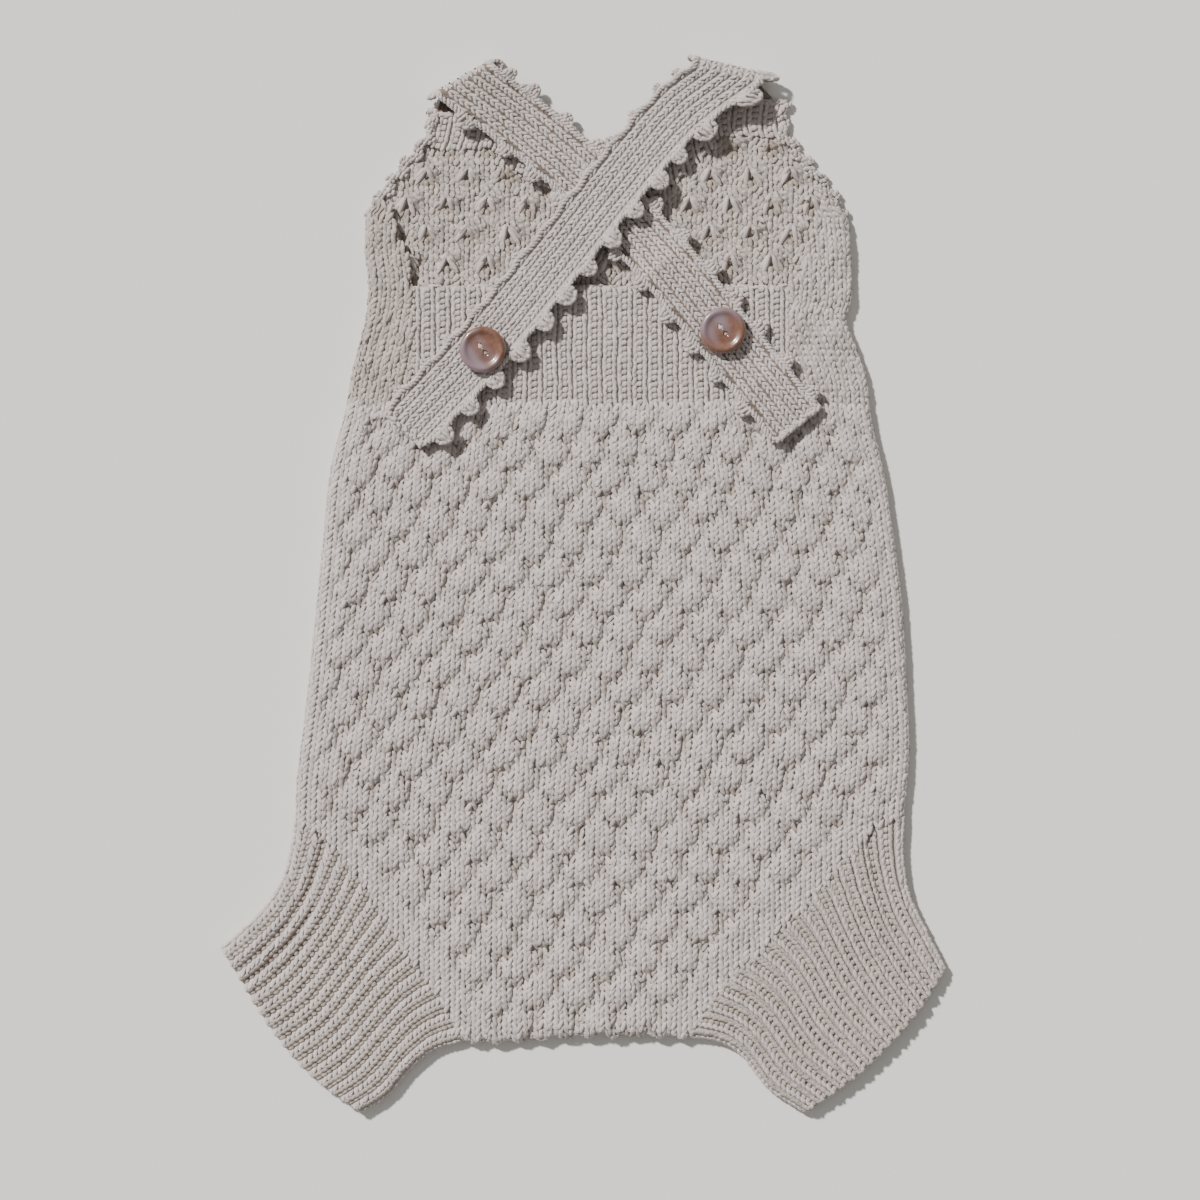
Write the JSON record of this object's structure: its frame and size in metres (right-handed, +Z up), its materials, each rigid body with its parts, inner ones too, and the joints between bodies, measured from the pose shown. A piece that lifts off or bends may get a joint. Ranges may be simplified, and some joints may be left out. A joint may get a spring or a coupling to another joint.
{
  "type": "baby romper",
  "caption": "Hand-knitted baby romper laid flat, back up: bubble-stitch body, ribbed cuffs, scalloped crossed straps buttoned at the back.",
  "frame": {"origin": "middle of the garment's box, on the surface that it lies on", "axes": "+Y from the leg cuffs to the straps, +X to the right seen from above, +Z up off the surface, out of the garment's back"},
  "size_m": [0.2748, 0.4012, 0.0115],
  "materials": {
    "knit_yarn": "plied light greige yarn, hand knitted, matt with a soft fuzz",
    "button_shell": "polished pinkish brown shell with a pearly sheen"
  },
  "bodies": {
    "root": {"body_front": "knit_yarn", "body_back": "knit_yarn", "bib": "knit_yarn", "bib_band": "knit_yarn", "back_rib": "knit_yarn", "side_wrap_left": "knit_yarn", "side_wrap_right": "knit_yarn", "cuff_left_front": "knit_yarn", "cuff_left_back": "knit_yarn", "cuff_right_front": "knit_yarn", "cuff_right_back": "knit_yarn", "strap_left": "knit_yarn", "strap_right": "knit_yarn", "button_left": "button_shell", "button_right": "button_shell"}
  },
  "joints": []
}
